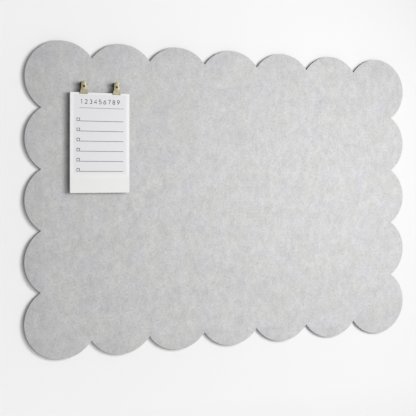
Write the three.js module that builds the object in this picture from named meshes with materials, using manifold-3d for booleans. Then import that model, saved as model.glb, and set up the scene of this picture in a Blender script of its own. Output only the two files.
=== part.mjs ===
// A scalloped felt bulletin board that hangs flat on a wall, with a list pad held on it
// by two small brass clips with push pins on their backs.
// Millimetres. +Z is up, +X is to the viewer's right, and +Y goes into the wall.
// The origin lies on the wall, behind the middle of the board.
import * as THREE from 'three';
import { mergeVertices } from 'three/addons/utils/BufferGeometryUtils.js';
import Module from 'manifold-3d';

const wasm = await Module();
wasm.setup();

// Felt panel: a grid of overlapping discs gives the scalloped outline
const scallopsAcross = 7;
const scallopsDown = 5;
const scallopPitch = 127;
const scallopRadius = 76.2;
const feltThickness = 6;
const feltEdgeEase = 0.6;

// Hook and loop strips between the panel and the wall
const stripWidth = 25;
const stripLength = 75;
const stripCornerRadius = 4;
const loopThickness = 1;
const hookThickness = 1;

// List pad
const padWidth = 126.5;
const padHeight = 208.5;
const padCornerRadius = 1.5;
const sheetsThickness = 5.7;
const topSheetThickness = 0.12;
const cardThickness = 1.2;
const bindingThickness = 0.4;
const padCentreX = -302.7;
const padTopZ = 222.9;
const padStandOff = 5.5;

// Clip jaws, pressed from sheet
const clipInset = 28.25;
const sheetMetal = 0.6;
const jawFootWidth = 17.2;
const jawShoulderWidth = 14.4;
const jawShoulderHeight = 7.5;
const jawWaistWidth = 11.6;
const jawWaistHeight = 12.6;
const jawBendHeight = 10.5;
const bendRadius = 2.4;
const neckAngle = THREE.MathUtils.degToRad(25);
const handleWidth = 13.6;
const handleTopHeight = 27;
const handleLean = THREE.MathUtils.degToRad(10);
const handleHoleRadius = 1.75;
const handleHoleHeight = 16;
const holeRimWidth = 0.8;
const holeRimHeight = 0.35;
const lipRadius = 0.8;
const gripDepth = 3;

// Ears and hinge pin
const hingeHeight = 9;
const earEndRadius = 2.2;
const earRootHeight = 6.8;
const earSideClearance = 0.4;
const pinRadius = 0.9;
const pinClearance = 0.15;
const pinHeadRadius = 1.5;
const pinHeadThickness = 0.5;

// Torsion spring, wound round the hinge pin
const wireRadius = 0.4;
const coilRadius = 2.1;
const coilPitch = 1.3;
const coilTurns = 3.5;
const springLegLean = THREE.MathUtils.degToRad(22);

// Push pin on the back of each clip
const pinDiscRadius = 3.8;
const pinDiscThickness = 0.6;
const pushPinHeight = 5.6;
const shankRadius = 1.4;
const needleRadius = 0.55;
const needleDepth = 4.2;
const needlePointLength = 1.6;
const needleHoleClearance = 0.25;
const needleHoleSpare = 0.5;

// Shared gaps and cutting allowance
const seatGap = 0.3;
const cutOverrun = 1;

// Facets on one arc of an outline, round a turned piece, and round and along the wire
const scallopFacets = 20;
const holeFacets = 16;
const cornerFacets = 6;
const turnedFacets = 20;
const wireFacets = 6;
const coilFacets = 10;
const bendFacets = 4;

// Places worked out from the sizes above
const wallGap = hookThickness + loopThickness;
const feltFrontY = -(wallGap + feltThickness);
const padThickness = sheetsThickness + topSheetThickness + cardThickness;
const clipMiddleY = feltFrontY - padStandOff - padThickness / 2;
const clipFootZ = padTopZ - gripDepth;
const jawOffset = padThickness / 2 + seatGap + lipRadius;
const handleReach = (handleTopHeight - jawBendHeight) * Math.tan(handleLean);
const cornerX = ((scallopsAcross - 1) / 2) * scallopPitch;
const cornerZ = ((scallopsDown - 1) / 2) * scallopPitch;
const pushPinZ = clipFootZ + pushPinHeight;
const mergeDistance = pinClearance / 1000;
const clipSides = [
  { side: 'left', x: padCentreX - padWidth / 2 + clipInset },
  { side: 'right', x: padCentreX + padWidth / 2 - clipInset },
];

// A closed geometry becomes a solid that can be joined and cut
function toSolid(geometry) {
  const bare = geometry.clone();
  bare.deleteAttribute('normal');
  bare.deleteAttribute('uv');
  const merged = mergeVertices(bare, mergeDistance);
  const corners = merged.index.array;
  const kept = [];
  for (let i = 0; i < corners.length; i += 3) {
    const [a, b, c] = corners.slice(i, i + 3);
    if (a !== b && b !== c && c !== a) kept.push(a, b, c);
  }
  return new wasm.Manifold(
    new wasm.Mesh({
      numProp: 3,
      vertProperties: new Float32Array(merged.attributes.position.array),
      triVerts: new Uint32Array(kept),
    }),
  );
}

// The vertices and triangles of a solid, as a geometry again
function toGeometry(solid) {
  const mesh = solid.getMesh();
  const geometry = new THREE.BufferGeometry();
  geometry.setAttribute('position', new THREE.BufferAttribute(mesh.vertProperties, 3));
  geometry.setIndex(new THREE.BufferAttribute(mesh.triVerts, 1));
  geometry.computeVertexNormals();
  return geometry;
}

// Extrusion settings; an arc gets two facets for each of its curve segments
function extrusion(depth, facets) {
  return { depth, bevelEnabled: false, curveSegments: facets / 2 };
}

// An outline drawn in X and Z becomes a slab whose back lies at backY and which comes forward
function slab(shape, thickness, backY, facets, ease = 0) {
  const options = extrusion(thickness - 2 * ease, facets);
  if (ease > 0) {
    const rim = { bevelSize: ease, bevelThickness: ease, bevelOffset: -ease, bevelSegments: 1 };
    Object.assign(options, { bevelEnabled: true, ...rim });
  }
  const geometry = new THREE.ExtrudeGeometry(shape, options);
  geometry.rotateX(Math.PI / 2);
  return geometry.translate(0, backY - ease, 0);
}

// An outline drawn in Y and Z becomes a bar that runs from x to x + length
function bar(shape, length, x) {
  const options = extrusion(length, holeFacets);
  const geometry = new THREE.ExtrudeGeometry(shape, options);
  const right = new THREE.Vector3(1, 0, 0);
  const back = new THREE.Vector3(0, 1, 0);
  const up = new THREE.Vector3(0, 0, 1);
  geometry.applyMatrix4(new THREE.Matrix4().makeBasis(back, up, right));
  return geometry.translate(x, 0, 0);
}

function roundedRectangle(width, height, radius) {
  const right = width / 2 - radius;
  const top = height / 2 - radius;
  const shape = new THREE.Shape();
  shape.absarc(right, top, radius, 0, Math.PI / 2);
  shape.absarc(-right, top, radius, Math.PI / 2, Math.PI);
  shape.absarc(-right, -top, radius, Math.PI, Math.PI * 1.5);
  shape.absarc(right, -top, radius, Math.PI * 1.5, Math.PI * 2);
  return shape;
}

// The panel's outline: one arc for each disc of the grid's edge, from notch to notch.
// Discs too small to meet would leave the straight edge of the core between them.
function scallopedOutline() {
  const notchAngle = Math.asin(Math.min(scallopPitch / 2 / scallopRadius, 1));
  const sides = [
    { count: scallopsAcross, from: [cornerX, cornerZ], step: [-scallopPitch, 0], out: 0.5 },
    { count: scallopsDown, from: [-cornerX, cornerZ], step: [0, -scallopPitch], out: 1 },
    { count: scallopsAcross, from: [-cornerX, -cornerZ], step: [scallopPitch, 0], out: 1.5 },
    { count: scallopsDown, from: [cornerX, -cornerZ], step: [0, scallopPitch], out: 2 },
  ];
  const outline = new THREE.Shape();
  for (const { count, from, step, out } of sides) {
    const outward = out * Math.PI;
    const [x, z] = from;
    const corner = outward - Math.PI / 4;
    outline.absarc(x, z, scallopRadius, corner - Math.PI / 4 - notchAngle, corner);
    outline.absarc(x, z, scallopRadius, corner, outward + notchAngle);
    for (let i = 1; i < count - 1; i += 1) {
      const [discX, discZ] = [x + step[0] * i, z + step[1] * i];
      outline.absarc(discX, discZ, scallopRadius, outward - notchAngle, outward + notchAngle);
    }
  }
  return outline;
}

function needleHole(x) {
  const radius = needleRadius + needleHoleClearance;
  const depth = needleDepth + needleHoleSpare + cutOverrun;
  const hole = new THREE.CylinderGeometry(radius, radius, depth, turnedFacets);
  return hole.translate(x, feltFrontY - cutOverrun + depth / 2, pushPinZ);
}

function feltPanelGeometry() {
  const board = slab(scallopedOutline(), feltThickness, -wallGap, scallopFacets, feltEdgeEase);
  let panel = toSolid(board);
  for (const { x } of clipSides) panel = panel.subtract(toSolid(needleHole(x)));
  return toGeometry(panel);
}

// A bent strip of sheet seen from its edge: a centre line thickened to both sides
function stripOutline(centreLine, thickness) {
  const sideOf = (sign) =>
    centreLine.map((point, i) => {
      const before = centreLine[Math.max(i - 1, 0)];
      const after = centreLine[Math.min(i + 1, centreLine.length - 1)];
      const along = after.clone().sub(before).normalize();
      const across = new THREE.Vector2(-along.y, along.x);
      return point.clone().addScaledVector(across, (sign * thickness) / 2);
    });
  return new THREE.Shape([...sideOf(1), ...sideOf(-1).reverse()]);
}

// The sheet of a jaw from its lip to the top of its handle; out is -1 in front and 1 behind
function jawCentreLine(out) {
  const cut = bendRadius * Math.tan(handleLean / 2);
  const bend = new THREE.Path();
  const middle = jawOffset + bendRadius;
  bend.absarc(middle, jawBendHeight - cut, bendRadius, Math.PI, Math.PI - handleLean, true);
  const points = bend.getPoints(bendFacets / 2);
  points.unshift(new THREE.Vector2(jawOffset, lipRadius));
  points.push(new THREE.Vector2(jawOffset + handleReach, handleTopHeight));
  return points.map((point) => new THREE.Vector2(out * point.x, point.y));
}

// A circle round the middle of the handle's hole
function holeCircle(Kind, radius) {
  return new Kind().absarc(0, handleHoleHeight, radius, 0, Math.PI * 2);
}

// The jaw seen from the front: a tapered foot, a waist and a round handle with a hole
function jawFace() {
  const [foot, shoulder, waist, head] = [jawFootWidth, jawShoulderWidth, jawWaistWidth, handleWidth].map(
    (width) => width / 2,
  );
  const headMiddle = handleTopHeight - head;
  const neckX = head * Math.cos(neckAngle);
  const neckZ = headMiddle - head * Math.sin(neckAngle);
  const neckTurn = neckZ - (neckX - waist) / Math.tan(neckAngle);
  const waistTurn = (jawShoulderHeight + jawWaistHeight) / 2;
  const face = new THREE.Shape();
  face.moveTo(-foot, 0);
  face.lineTo(foot, 0);
  face.lineTo(shoulder, jawShoulderHeight);
  face.quadraticCurveTo(waist, waistTurn, waist, jawWaistHeight);
  face.quadraticCurveTo(waist, neckTurn, neckX, neckZ);
  face.absarc(0, headMiddle, head, -neckAngle, Math.PI + neckAngle);
  face.quadraticCurveTo(-waist, neckTurn, -waist, jawWaistHeight);
  face.quadraticCurveTo(-waist, waistTurn, -shoulder, jawShoulderHeight);
  face.holes.push(holeCircle(THREE.Path, handleHoleRadius));
  return face;
}

// The raised rim round the handle's hole, seen from the front
function holeRimFace() {
  const rim = holeCircle(THREE.Shape, handleHoleRadius + holeRimWidth);
  rim.holes.push(holeCircle(THREE.Path, handleHoleRadius));
  return rim;
}

// A folded ear that reaches from the jaw's sheet to the hinge pin and goes round it
function earOutline(out) {
  const root = out * jawOffset;
  const ear = new THREE.Shape();
  ear.moveTo(root, hingeHeight - earRootHeight / 2);
  ear.lineTo(0, hingeHeight - earEndRadius);
  ear.absarc(0, hingeHeight, earEndRadius, -Math.PI / 2, Math.PI / 2, out > 0);
  ear.lineTo(root, hingeHeight + earRootHeight / 2);
  const hole = new THREE.Path();
  hole.absarc(0, hingeHeight, pinRadius + pinClearance, 0, Math.PI * 2);
  ear.holes.push(hole);
  return ear;
}

// One jaw of a clip, about the clip's middle; earX is the outer face of its ears
function jawGeometry(out, earX) {
  const depth = jawOffset + handleReach + sheetMetal + cutOverrun;
  const pressed = (face, thickness) => {
    const sheet = bar(stripOutline(jawCentreLine(out), thickness), jawFootWidth, -jawFootWidth / 2);
    return toSolid(sheet).intersect(toSolid(slab(face, depth * 2, depth, holeFacets)));
  };
  let jaw = pressed(jawFace(), sheetMetal).add(pressed(holeRimFace(), sheetMetal + 2 * holeRimHeight));
  const lip = new THREE.CylinderGeometry(lipRadius, lipRadius, jawFootWidth, turnedFacets);
  lip.rotateZ(Math.PI / 2).translate(0, out * jawOffset, lipRadius);
  jaw = jaw.add(toSolid(lip));
  for (const x of [-earX, earX - sheetMetal]) {
    jaw = jaw.add(toSolid(bar(earOutline(out), sheetMetal, x)));
  }
  return toGeometry(jaw);
}

// A turned piece, given by the radius and the height of each corner of its side
function turned(corners) {
  const profile = corners.map(([radius, height]) => new THREE.Vector2(radius, height));
  return toGeometry(toSolid(new THREE.LatheGeometry(profile, turnedFacets)));
}

// A rivet with a head at each end, along X through the ears
function hingePinGeometry() {
  const headInner = jawWaistWidth / 2 + seatGap;
  const headOuter = headInner + pinHeadThickness;
  const pin = turned([
    [0, -headOuter],
    [pinHeadRadius, -headOuter],
    [pinHeadRadius, -headInner],
    [pinRadius, -headInner],
    [pinRadius, headInner],
    [pinHeadRadius, headInner],
    [pinHeadRadius, headOuter],
    [0, headOuter],
  ]);
  return pin.rotateZ(-Math.PI / 2).translate(0, 0, hingeHeight);
}

// A disc on the back of the clip, a shank that stands on the felt and a needle in the felt
function pushPinGeometry() {
  const discFront = jawOffset + sheetMetal / 2;
  const discBack = discFront + pinDiscThickness;
  const feltFace = feltFrontY - clipMiddleY;
  const needleEnd = feltFace + needleDepth;
  const pin = turned([
    [0, discFront],
    [pinDiscRadius, discFront],
    [pinDiscRadius, discBack],
    [shankRadius, discBack],
    [shankRadius, feltFace - seatGap],
    [needleRadius, feltFace - seatGap],
    [needleRadius, needleEnd - needlePointLength],
    [0, needleEnd],
  ]);
  return pin.translate(0, 0, pushPinHeight);
}

// The spring's wire: a leg down the back handle, the turns, and a leg up the front handle
class TorsionSpringPath extends THREE.Curve {
  constructor() {
    super();
    const lean = springLegLean;
    const face = jawOffset - sheetMetal / 2 - wireRadius - seatGap;
    const start = coilRadius * Math.cos(lean);
    const startHeight = hingeHeight - coilRadius * Math.sin(lean);
    const slope = Math.tan(handleLean);
    const atStart = face + (startHeight - jawBendHeight) * slope;
    this.leg = (atStart - start) / (Math.sin(lean) - Math.cos(lean) * slope);
    this.turn = coilTurns * 2 * Math.PI - 2 * lean;
    this.coil = Math.hypot(coilRadius * this.turn, coilPitch * (this.turn / (2 * Math.PI)));
    this.total = this.coil + 2 * this.leg;
    this.halfWidth = (coilPitch * this.turn) / (4 * Math.PI);
  }

  getPoint(t, target = new THREE.Vector3()) {
    const along = t * this.total - this.leg;
    const wound = THREE.MathUtils.clamp(along / this.coil, 0, 1);
    const angle = -springLegLean - wound * this.turn;
    const legRise = Math.max(-along, along - this.coil, 0);
    const sign = along < this.coil / 2 ? 1 : -1;
    const x = (2 * wound - 1) * this.halfWidth;
    const y = coilRadius * Math.cos(angle) + sign * legRise * Math.sin(springLegLean);
    const z = coilRadius * Math.sin(angle) + legRise * Math.cos(springLegLean);
    return target.set(x, y, hingeHeight + z);
  }
}

function springGeometry() {
  const path = new TorsionSpringPath();
  const stepLength = (2 * Math.PI * coilRadius) / coilFacets;
  const section = new THREE.Shape().absarc(0, 0, wireRadius, 0, Math.PI * 2);
  const steps = Math.round(path.total / stepLength);
  const options = { steps, extrudePath: path, curveSegments: wireFacets / 2 };
  return new THREE.ExtrudeGeometry(section, options);
}

// The least gap between two turns of the spring, measured on points of its middle line
function springLeastGap() {
  const path = new TorsionSpringPath();
  const samples = coilFacets * 40;
  const points = path.getSpacedPoints(samples);
  const halfTurn = Math.round((samples * coilRadius * Math.PI) / path.total);
  let least = Infinity;
  for (let i = 0; i < points.length; i += 1) {
    for (let j = i + halfTurn; j < points.length; j += 1) {
      least = Math.min(least, points[i].distanceTo(points[j]));
    }
  }
  return least - 2 * wireRadius;
}

function material(color, roughness, metalness) {
  return new THREE.MeshStandardMaterial({ color, roughness, metalness });
}

const felt = material(0xc4c4c5, 0.95, 0);
const tape = material(0xe9e9e6, 0.9, 0);
const paper = material(0xf1f1f3, 0.85, 0);
const card = material(0xb9ad9c, 0.9, 0);
const binding = material(0xf4f4f0, 0.5, 0);
const brass = material(0xcdbf93, 0.35, 0.9);
const steel = material(0xb8b8ba, 0.3, 1);

function part(name, geometry, finish) {
  const mesh = new THREE.Mesh(geometry, finish);
  mesh.name = name;
  return mesh;
}

// The strips' two halves, behind the corner discs and behind the middle of the board
function wallStrips() {
  const strips = new THREE.Group();
  const places = [
    { place: 'top_left', x: -cornerX, z: cornerZ },
    { place: 'top_right', x: cornerX, z: cornerZ },
    { place: 'centre', x: 0, z: 0 },
    { place: 'bottom_left', x: -cornerX, z: -cornerZ },
    { place: 'bottom_right', x: cornerX, z: -cornerZ },
  ];
  const outline = roundedRectangle(stripWidth, stripLength, stripCornerRadius);
  for (const { place, x, z } of places) {
    const hook = slab(outline, hookThickness, 0, cornerFacets).translate(x, 0, z);
    const loop = slab(outline, loopThickness, -hookThickness, cornerFacets).translate(x, 0, z);
    strips.add(part(`hook_strip_${place}`, hook, tape));
    strips.add(part(`loop_strip_${place}`, loop, tape));
  }
  return strips;
}

function listPad() {
  const pad = new THREE.Group();
  const middleZ = padTopZ - padHeight / 2;
  const outline = roundedRectangle(padWidth, padHeight, padCornerRadius);
  const cardBack = feltFrontY - padStandOff;
  const sheetsBack = cardBack - cardThickness;
  const topSheetBack = sheetsBack - sheetsThickness;
  const leaf = (thickness, back) =>
    slab(outline, thickness, back, cornerFacets).translate(padCentreX, 0, middleZ);
  pad.add(part('backing_card', leaf(cardThickness, cardBack), card));
  pad.add(part('pad_sheets', leaf(sheetsThickness, sheetsBack), paper));
  pad.add(part('top_sheet', leaf(topSheetThickness, topSheetBack), paper));
  const edgeWidth = padWidth - 2 * padCornerRadius;
  const edge = new THREE.BoxGeometry(edgeWidth, sheetsThickness, bindingThickness);
  edge.translate(padCentreX, sheetsBack - sheetsThickness / 2, padTopZ + bindingThickness / 2);
  pad.add(part('binding_edge', edge, binding));
  return pad;
}

// One clip: two jaws on a riveted pin, the spring that shuts them, and the push pin
function pinClip(side, x) {
  const clip = new THREE.Group();
  const outerEar = jawWaistWidth / 2;
  const innerEar = outerEar - sheetMetal - earSideClearance;
  clip.add(part(`front_jaw_${side}`, jawGeometry(-1, outerEar), brass));
  clip.add(part(`back_jaw_${side}`, jawGeometry(1, innerEar), brass));
  clip.add(part(`hinge_pin_${side}`, hingePinGeometry(), brass));
  clip.add(part(`torsion_spring_${side}`, springGeometry(), steel));
  clip.add(part(`push_pin_${side}`, pushPinGeometry(), steel));
  clip.position.set(x, clipMiddleY, clipFootZ);
  return clip;
}

console.log(`least gap between the turns of a spring: ${springLeastGap().toFixed(2)} mm`);

const group = new THREE.Group();
group.add(part('felt_panel', feltPanelGeometry(), felt));
group.add(wallStrips());
group.add(listPad());
for (const { side, x } of clipSides) group.add(pinClip(side, x));

export default group;
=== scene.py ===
import math
import random

import bmesh
import bpy
from mathutils import Matrix, Vector, noise


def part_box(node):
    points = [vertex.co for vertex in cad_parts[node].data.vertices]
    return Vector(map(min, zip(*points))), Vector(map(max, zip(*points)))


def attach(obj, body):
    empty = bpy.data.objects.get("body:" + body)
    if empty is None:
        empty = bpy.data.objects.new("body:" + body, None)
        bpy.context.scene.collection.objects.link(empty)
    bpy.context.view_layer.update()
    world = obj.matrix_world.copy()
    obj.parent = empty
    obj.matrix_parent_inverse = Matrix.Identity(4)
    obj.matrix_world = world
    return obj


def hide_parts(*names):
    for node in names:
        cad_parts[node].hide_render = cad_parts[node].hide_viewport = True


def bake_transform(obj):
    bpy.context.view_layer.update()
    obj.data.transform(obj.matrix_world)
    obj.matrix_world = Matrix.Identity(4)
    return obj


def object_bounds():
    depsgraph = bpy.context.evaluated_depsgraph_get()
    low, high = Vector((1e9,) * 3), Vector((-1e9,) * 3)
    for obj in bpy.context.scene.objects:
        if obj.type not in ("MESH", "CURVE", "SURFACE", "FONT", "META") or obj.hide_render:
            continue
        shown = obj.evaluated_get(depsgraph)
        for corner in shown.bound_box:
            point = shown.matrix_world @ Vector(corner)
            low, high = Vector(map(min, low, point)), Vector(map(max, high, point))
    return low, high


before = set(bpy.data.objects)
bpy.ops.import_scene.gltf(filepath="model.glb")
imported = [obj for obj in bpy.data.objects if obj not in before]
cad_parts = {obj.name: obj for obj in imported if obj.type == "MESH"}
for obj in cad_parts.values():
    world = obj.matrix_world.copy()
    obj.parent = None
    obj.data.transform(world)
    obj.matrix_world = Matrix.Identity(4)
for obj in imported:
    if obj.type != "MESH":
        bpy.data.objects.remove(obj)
cad_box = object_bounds()

MM = 0.001

# The board; its outline comes from the CAD parts in model.glb
SCALLOPS_ACROSS = 7
SCALLOPS_DOWN = 5
PANEL_LOW, PANEL_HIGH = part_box("felt_panel")
PANEL_WIDTH = PANEL_HIGH[0] - PANEL_LOW[0]
PANEL_HEIGHT = PANEL_HIGH[2] - PANEL_LOW[2]
SCALLOP_PITCH = (PANEL_WIDTH - PANEL_HEIGHT) / (SCALLOPS_ACROSS - SCALLOPS_DOWN)
SCALLOP_RADIUS = (PANEL_WIDTH - (SCALLOPS_ACROSS - 1) * SCALLOP_PITCH) / 2
FELT_FRONT = PANEL_LOW[1]
FELT_BACK = PANEL_HIGH[1]
SCALLOP_STEPS = 100
EDGE_EASE = 0.8 * MM
EDGE_FRAY = 0.2 * MM
FRAY_GRAIN = 1.7 * MM
NEEDLE_HOLE_RADIUS = 0.65 * MM
FIBRE_COUNT = 2600
FIBRE_LENGTHS = (0.8 * MM, 2.4 * MM)
FIBRE_RADII = (0.02 * MM, 0.035 * MM)
FIBRE_ROOT_DEPTH = 0.3 * MM
FIBRE_MARGIN = 0.5 * MM

# The list pad; its outline comes from the CAD parts in model.glb
SHEETS_LOW, SHEETS_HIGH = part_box("pad_sheets")
TOP_SHEET_LOW, TOP_SHEET_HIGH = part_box("top_sheet")
GLUE_LOW, GLUE_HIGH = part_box("binding_edge")
PAD_CENTRE_X = (SHEETS_LOW[0] + SHEETS_HIGH[0]) / 2
PAD_HALF_WIDTH = (SHEETS_HIGH[0] - SHEETS_LOW[0]) / 2
PAD_TOP = SHEETS_HIGH[2]
PAD_HEIGHT = SHEETS_HIGH[2] - SHEETS_LOW[2]
PAD_CORNER = 1.5 * MM
SHEET_COUNT = 50
SHEET_THICKNESS = 0.1 * MM
SHEET_SLIP = 0.09 * MM
SHEET_DROP = 0.08 * MM
LEFT_CORNER_LIFT = 0.5 * MM
RIGHT_CORNER_LIFT = 0.9 * MM
WAVE_LIFT = 0.12 * MM
WAVE_LENGTH = 45 * MM
WAVE_SLICE_Y = 0.4
GLUE_LUMP_SIZE = 3 * MM
GLUE_LUMP_SHARE = 0.18

# The printing; places are measured down from the pad's top and across from its middle
INK_THICKNESS = 0.02 * MM
NUMERALS_DOWN = 23.0 * MM
NUMERALS_SPAN = (-44.5 * MM, 44 * MM)
NUMERAL_HEIGHT = 8.6 * MM
NUMERAL_STROKE = 1.3 * MM
TOP_RULE_DOWN = 31.9 * MM
TOP_RULE_SPAN = (-44 * MM, 50.5 * MM)
TOP_RULE_STROKE = 0.75 * MM
RULE_COUNT = 6
RULE_PITCH = 20.92 * MM
FIRST_RULE_DOWN = 59.2 * MM
RULE_SPAN = (-42.6 * MM, 50 * MM)
RULE_STROKE = 1.0 * MM
RULE_STEPS = 16
BOX_ACROSS = -46.4 * MM
BOX_ABOVE_RULE = 3.1 * MM
BOX_HALF_SIDE = 2.8 * MM
BOX_STROKE = 1.2 * MM

# The clips; heights are above the foot of a clip
CLIP_FOOT_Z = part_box("front_jaw_left")[0][2]
SHEET_METAL = 0.6 * MM
SHEET_EASE = 0.1 * MM
SHEET_ROW_SPACING = 1.2 * MM
FOOT_WIDTH = 17.2 * MM
SHOULDER_WIDTH = 14.4 * MM
SHOULDER_HEIGHT = 7.5 * MM
WAIST_WIDTH = 11.6 * MM
WAIST_HEIGHT = 12.6 * MM
BEND_HEIGHT = 10.5 * MM
BEND_RADIUS = 2.4 * MM
NECK_ANGLE = math.radians(25)
HANDLE_WIDTH = 13.6 * MM
HANDLE_TOP = 27 * MM
HANDLE_LEAN = math.radians(10)
HANDLE_CROWN = 0.6 * MM
HANDLE_ARC_END = math.radians(86)
HOLE_RADIUS = 1.75 * MM
HOLE_HEIGHT = 16 * MM
HOLE_RIM_WIDTH = 0.8 * MM
HOLE_RIM_HEIGHT = 0.35 * MM
# How far round each hole the brass is painted dark as shade
HOLE_SHADE_RADIUS = 2.5 * MM
CUT_OVERRUN = 2 * MM
LIP_RADIUS = 0.8 * MM
HINGE_HEIGHT = 9 * MM
EAR_RADIUS = 2.2 * MM
EAR_ROOT = 6.8 * MM
EAR_CLEARANCE = 0.4 * MM
PIN_RADIUS = 0.9 * MM
PIN_HOLE_RADIUS = 1.05 * MM
PIN_HEAD_RADIUS = 1.5 * MM
PIN_HEAD_RIM = 0.22 * MM
PIN_HEAD_HEIGHT = 0.5 * MM
DISC_THICKNESS = 0.6 * MM
SHANK_RADIUS = 1.4 * MM
NEEDLE_RADIUS = 0.55 * MM
NEEDLE_POINT = 1.6 * MM
NEEDLE_TAPER_SHARE = 0.6
PUSH_PIN_EASE = 0.12 * MM
WIRE_RADIUS = 0.4 * MM
COIL_RADIUS = 2.1 * MM
COIL_PITCH = 1.3 * MM
COIL_TURNS = 3.5
SPRING_LEAN = math.radians(22)
SEAT_GAP = 0.3 * MM

# The camera of the photograph: level, from the viewer's left, with a vertical shift
CAMERA_AZIMUTH = math.radians(-21.3)
CAMERA_ELEVATION = math.radians(-0.16)
CAMERA_ROLL = math.radians(0.06)
CAMERA_DISTANCE = 1.7632
CAMERA_TARGET = Vector((-0.0558, FELT_FRONT, 0.0604))
FOCAL_PIXELS = 794.9
SHIFT_PIXELS = -37.0
FRAME_PIXELS = 416

# The lights: a key at the upper right, a broad window in front, and a sky that is brighter to the right
KEY_PLACE = (0.60, -1.1, 0.24)
KEY_AIM = (-1.2, 0.0, -1.19)
KEY_SIZE = 0.66
KEY_POWER = 15.3
WINDOW_PLACE = (0.6, -2.5, 0.1)
WINDOW_AIM = (0.0, 0.0, 0.0)
WINDOW_SIZE = 1.2
WINDOW_POWER = 16.6
SKY_STRENGTH = 0.325
SKY_LEAN = 0.35

# The bright patch of sky, which gives the brass its bright rims
SKY_GLOW = 2.1
SKY_GLOW_TOWARDS = (0.588, -0.806, -0.070)
SKY_GLOW_EDGE = 0.935
SKY_GLOW_SOFTNESS = 0.09

# The wall and the floor
WALL_GAP = 0.2 * MM
WALL_TOP = 2.4
STAGE_HALF_WIDTH = 3.0
FLOOR_Z = -1.45
FLOOR_REACH = 4.0

SIDES = ("left", "right")
STRIP_PLACES = ("top_left", "top_right", "centre", "bottom_left", "bottom_right")


# Places on the clips

def box_middle(low, high):
    return [(start + end) / 2 for start, end in zip(low, high)]


def clip_middle(side):
    """The middle of a clip, at its foot."""
    low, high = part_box("hinge_pin_" + side)
    x, y, _ = box_middle(low, high)
    return Vector((x, y, CLIP_FOOT_Z))


def handle_reach():
    """How far out the top of a handle leans."""
    return (HANDLE_TOP - BEND_HEIGHT) * math.tan(HANDLE_LEAN)


def jaw_offset():
    """How far a jaw's sheet lies from the middle of the clip."""
    low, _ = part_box("front_jaw_left")
    return clip_middle("left").y - (low[1] + handle_reach() + SHEET_METAL / 2 / math.cos(HANDLE_LEAN))


# Making meshes

def place_object(name, data):
    placed = bpy.data.objects.new(name, data)
    bpy.context.scene.collection.objects.link(placed)
    return placed


def mesh_from(bm, name):
    mesh = bpy.data.meshes.new(name)
    bm.to_mesh(mesh)
    bm.free()
    return mesh


def blank(bm):
    """A closed solid that takes part in cutting and joining, and is then thrown away."""
    bmesh.ops.recalc_face_normals(bm, faces=bm.faces)
    return place_object("blank", mesh_from(bm, "blank"))


def worked(first, *steps):
    """The mesh of a blank after others are joined to it, cut from it or kept in common with it."""
    for operation, other in steps:
        cut = first.modifiers.new(operation, "BOOLEAN")
        cut.operation = operation
        cut.solver = "EXACT"
        cut.object = other
    graph = bpy.context.evaluated_depsgraph_get()
    mesh = bpy.data.meshes.new_from_object(first.evaluated_get(graph))
    for used in (first, *(other for _, other in steps)):
        bpy.data.objects.remove(used)
    return mesh


def piece_from_mesh(name, mesh, finish, smooth=None, ease=None):
    """A finished piece: its material, smooth shading below an angle, and eased edges."""
    mesh.name = name
    mesh.materials.clear()
    mesh.materials.append(finish)
    piece = place_object(name, mesh)
    if smooth is not None:
        mesh.shade_smooth()
        mesh.set_sharp_from_angle(angle=math.radians(smooth))
    if ease is not None:
        bevel = piece.modifiers.new("eased_edges", "BEVEL")
        bevel.width = ease
        bevel.segments = 2
        bevel.limit_method = "ANGLE"
        bevel.angle_limit = math.radians(smooth)
        bevel.harden_normals = True
    return piece


def piece_from_bmesh(name, bm, finish, smooth=None):
    bmesh.ops.recalc_face_normals(bm, faces=bm.faces)
    return piece_from_mesh(name, mesh_from(bm, name), finish, smooth)


def settle(piece, body, slot, *nodes):
    """The piece rides on a body and stands for CAD nodes, which it hides. The slot is not used."""
    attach(piece, body)
    if nodes:
        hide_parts(*nodes)


def move(bm, offset):
    bmesh.ops.translate(bm, verts=bm.verts, vec=offset)


def bridge(bm, ring, following):
    """Quads between two closed rings of as many points."""
    for i, j in zip(range(len(ring)), [*range(1, len(ring)), 0]):
        bm.faces.new((ring[i], ring[j], following[j], following[i]))


def fill_flat(bm, loops):
    """Fills the flat face inside the first loop, leaving the other loops open as holes."""
    edges = []
    for loop in loops:
        for ends in zip(loop, loop[1:] + loop[:1]):
            edges.append(bm.edges.get(ends) or bm.edges.new(ends))
    bmesh.ops.triangle_fill(bm, use_beauty=True, edges=edges)


def prism(bm, loops, low, high, place):
    """A closed solid with a flat outline and holes; place turns (u, v, depth) into a point."""
    ends = []
    for depth in (low, high):
        ends.append([[bm.verts.new(place(u, v, depth)) for u, v in loop] for loop in loops])
    for near, far in zip(*ends):
        bridge(bm, near, far)
    for loops_at_end in ends:
        fill_flat(bm, loops_at_end)


def solid(loops, low, high, place):
    """A blank with a flat outline and holes."""
    bm = bmesh.new()
    prism(bm, loops, low, high, place)
    return blank(bm)


def plate(bm, faces):
    """A closed thin plate, from the rows of points of its two faces."""
    outlines = []
    for rows in faces:
        grid = [[bm.verts.new(point) for point in row] for row in rows]
        for near, far in zip(grid, grid[1:]):
            for k in range(len(near) - 1):
                bm.faces.new((near[k], near[k + 1], far[k + 1], far[k]))
        left, right = [row[0] for row in grid], [row[-1] for row in grid]
        outlines.append(grid[0] + right[1:-1] + grid[-1][::-1] + left[-2:0:-1])
    bridge(bm, *outlines)


def facing(u, v, depth):
    """An outline in X and Z, with its depth along Y."""
    return (u, depth, v)


def edge_on(u, v, depth):
    """An outline in Y and Z, with its depth along X."""
    return (depth, u, v)


def lying(u, v, depth):
    """An outline in X and Y, with its depth along Z."""
    return (u, v, depth)


def spread(steps):
    """Numbers at equal steps from -1 to 1, both ends included."""
    return [2 * k / steps - 1 for k in range(steps + 1)]


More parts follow.
